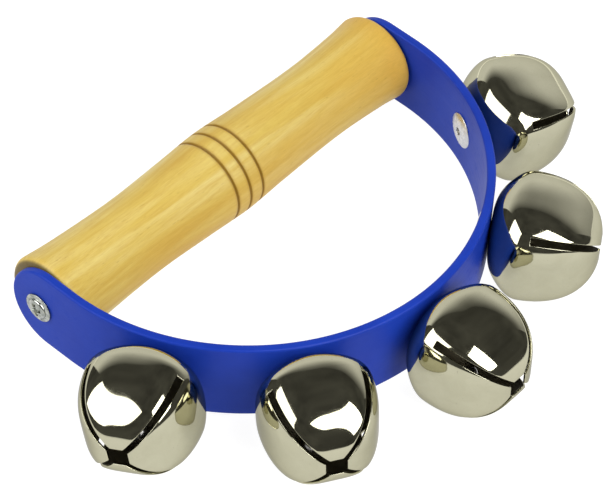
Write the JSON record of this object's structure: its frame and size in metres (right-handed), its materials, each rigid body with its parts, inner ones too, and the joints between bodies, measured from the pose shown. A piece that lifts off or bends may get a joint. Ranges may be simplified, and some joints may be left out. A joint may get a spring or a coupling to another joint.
{
  "type": "hand sleigh bells",
  "caption": "Hand-held sleigh bells: round jingle bells riveted along a bent strap that is closed by a turned wooden grip, shaken to ring.",
  "frame": {"origin": "centre of the wooden grip, on its axis", "axes": "+X along the grip, the strap and bells lie towards -Y, +Z is straight across the strap's width"},
  "size_m": [0.1676, 0.1103, 0.03],
  "materials": {
    "grip_wood": "clear varnished pale hardwood, satin gloss, fine grain along its length",
    "strap_plastic": "royal blue plastic strip, semi-gloss, moulded edges",
    "screw_zinc": "bright zinc-plated steel",
    "bell_nickel": "polished nickel plating on thin sheet steel, mirror bright with a warm tint",
    "pellet_steel": "plain steel ball, satin",
    "rivet_aluminium": "bright satin aluminium",
    "mandrel_steel": "plain steel wire, snapped end"
  },
  "bodies": {
    "grip_frame": {"grip": "grip_wood", "strap": "strap_plastic", "left_screw": "screw_zinc", "right_screw": "screw_zinc", "rivet_1": "rivet_aluminium", "rivet_2": "rivet_aluminium", "rivet_3": "rivet_aluminium", "rivet_4": "rivet_aluminium", "rivet_5": "rivet_aluminium", "rivet_mandrel_1": "mandrel_steel", "rivet_mandrel_2": "mandrel_steel", "rivet_mandrel_3": "mandrel_steel", "rivet_mandrel_4": "mandrel_steel", "rivet_mandrel_5": "mandrel_steel"},
    "bell_1": {"bell_shell_1": "bell_nickel"},
    "loose_pellet_1": {"pellet_1": "pellet_steel"},
    "bell_2": {"bell_shell_2": "bell_nickel"},
    "loose_pellet_2": {"pellet_2": "pellet_steel"},
    "bell_3": {"bell_shell_3": "bell_nickel"},
    "loose_pellet_3": {"pellet_3": "pellet_steel"},
    "bell_4": {"bell_shell_4": "bell_nickel"},
    "loose_pellet_4": {"pellet_4": "pellet_steel"},
    "bell_5": {"bell_shell_5": "bell_nickel"},
    "loose_pellet_5": {"pellet_5": "pellet_steel"}
  },
  "joints": [
    {"name": "bell_1_turn", "type": "hinge", "parent": "grip_frame", "child": "bell_1", "pos_m": [-0.05594, -0.0339, 0], "axis": [-0.9092, -0.4164, 0], "continuous": true},
    {"name": "pellet_1_rattle", "type": "slide", "parent": "grip_frame", "child": "loose_pellet_1", "axis": [0, 0, 1], "range_m": [0, 0.0196]},
    {"name": "bell_2_turn", "type": "hinge", "parent": "grip_frame", "child": "bell_2", "pos_m": [-0.03316, -0.05985, 0], "axis": [-0.5365, -0.8439, 0], "continuous": true},
    {"name": "pellet_2_rattle", "type": "slide", "parent": "grip_frame", "child": "loose_pellet_2", "axis": [0, 0, 1], "range_m": [0, 0.0196]},
    {"name": "bell_3_turn", "type": "hinge", "parent": "grip_frame", "child": "bell_3", "pos_m": [0, -0.0695, 0], "axis": [0, -1, 0], "continuous": true},
    {"name": "pellet_3_rattle", "type": "slide", "parent": "grip_frame", "child": "loose_pellet_3", "axis": [0, 0, 1], "range_m": [0, 0.0196]},
    {"name": "bell_4_turn", "type": "hinge", "parent": "grip_frame", "child": "bell_4", "pos_m": [0.03316, -0.05985, 0], "axis": [0.5365, -0.8439, 0], "continuous": true},
    {"name": "pellet_4_rattle", "type": "slide", "parent": "grip_frame", "child": "loose_pellet_4", "axis": [0, 0, 1], "range_m": [0, 0.0196]},
    {"name": "bell_5_turn", "type": "hinge", "parent": "grip_frame", "child": "bell_5", "pos_m": [0.05594, -0.0339, 0], "axis": [0.9092, -0.4164, 0], "continuous": true},
    {"name": "pellet_5_rattle", "type": "slide", "parent": "grip_frame", "child": "loose_pellet_5", "axis": [0, 0, 1], "range_m": [0, 0.0196]}
  ]
}
